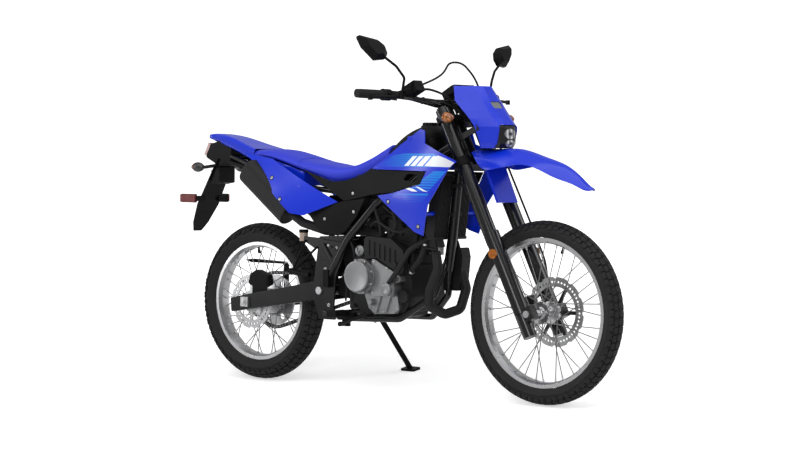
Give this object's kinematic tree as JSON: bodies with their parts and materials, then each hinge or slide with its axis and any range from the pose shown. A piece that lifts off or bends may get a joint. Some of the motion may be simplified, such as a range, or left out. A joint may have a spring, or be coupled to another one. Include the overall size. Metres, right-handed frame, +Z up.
{
  "type": "dual-sport motorcycle",
  "caption": "Dual-sport motorcycle on its side stand: wire wheels with knobbly tyres, steering fork, single-cylinder engine, blue body panels and a long seat.",
  "frame": {"origin": "bottom centre of the bounding box of the leaning motorcycle, on the ground", "axes": "+X forward along the wheelbase, +Y to the rider's left, +Z up; the motorcycle leans 10 degrees to +Y on its side stand"},
  "size_m": [2.1612, 0.917, 1.4214],
  "materials": {
    "black_steel": "semi-gloss",
    "engine_silver": "satin",
    "engine_black": "matte",
    "blue_plastic": "gloss",
    "black_plastic": "satin",
    "seat_cover": "satin",
    "tyre_rubber": "matte",
    "soft_rubber": "matte",
    "bare_aluminium": "satin",
    "steel": "brushed",
    "amber_lens": "gloss",
    "red_lens": "gloss",
    "clear_lens": "gloss",
    "mirror_black": "satin"
  },
  "bodies": {
    "chassis": {"frame": "black_steel", "subframe": "black_steel", "engine_cases": "engine_silver", "engine_covers": "engine_silver", "cylinder": "engine_black", "airbox": "black_plastic", "exhaust_pipe": "black_steel", "muffler": "black_plastic", "swingarm": "black_steel", "rear_axle": "steel", "shock": "black_steel", "chain": "steel", "chain_guard": "black_plastic", "tank": "black_plastic", "radiators": "black_plastic", "seat": "seat_cover", "shrouds": "blue_plastic", "side_covers": "black_plastic", "lower_covers": "black_plastic", "rear_panels": "blue_plastic", "tail_panel": "blue_plastic", "rear_mudguard": "black_plastic", "tail_lamp": "red_lens", "rear_reflectors": "red_lens", "rear_indicators": "amber_lens", "foot_pegs": "black_steel", "foot_controls": "black_steel", "rear_caliper": "black_steel", "rear_brake_parts": "black_steel"},
    "steering": {"yokes": "black_steel", "fork_legs": "black_steel", "fork_guards": "black_steel", "front_axle": "steel", "front_fender": "blue_plastic", "headlight_mask": "blue_plastic", "headlamp": "clear_lens", "instrument": "black_plastic", "front_indicators": "amber_lens", "fork_reflectors": "amber_lens", "handlebar": "black_steel", "grips": "soft_rubber", "hand_controls": "black_plastic", "mirrors": "mirror_black", "front_caliper": "black_steel", "brake_hose": "soft_rubber"},
    "front_wheel": {"front_tyre": "tyre_rubber", "front_rim": "bare_aluminium", "front_hub": "bare_aluminium", "front_spokes": "steel", "front_disc": "steel"},
    "rear_wheel": {"rear_tyre": "tyre_rubber", "rear_rim": "bare_aluminium", "rear_hub": "bare_aluminium", "rear_spokes": "steel", "rear_disc": "steel", "rear_sprocket": "steel"},
    "side_stand": {"side_stand": "black_steel"}
  },
  "joints": [
    {"name": "steering_turn", "type": "hinge", "parent": "chassis", "child": "steering", "pos_m": [0.35035, -0.06443, 0.94843], "axis": [-0.454, 0.1547, 0.8775], "range_deg": [-42, 42]},
    {"name": "front_wheel_spin", "type": "hinge", "parent": "steering", "child": "front_wheel", "pos_m": [0.73766, -0.17197, 0.33855], "axis": [0, 0.9848, -0.1736], "continuous": true},
    {"name": "rear_wheel_spin", "type": "hinge", "parent": "chassis", "child": "rear_wheel", "pos_m": [-0.69234, -0.17596, 0.3159], "axis": [0, 0.9848, -0.1736], "continuous": true},
    {"name": "side_stand_fold", "type": "hinge", "parent": "chassis", "child": "side_stand", "pos_m": [-0.20034, -0.03212, 0.24484], "axis": [0, 0.9781, 0.2079], "range_deg": [0, 98]}
  ]
}
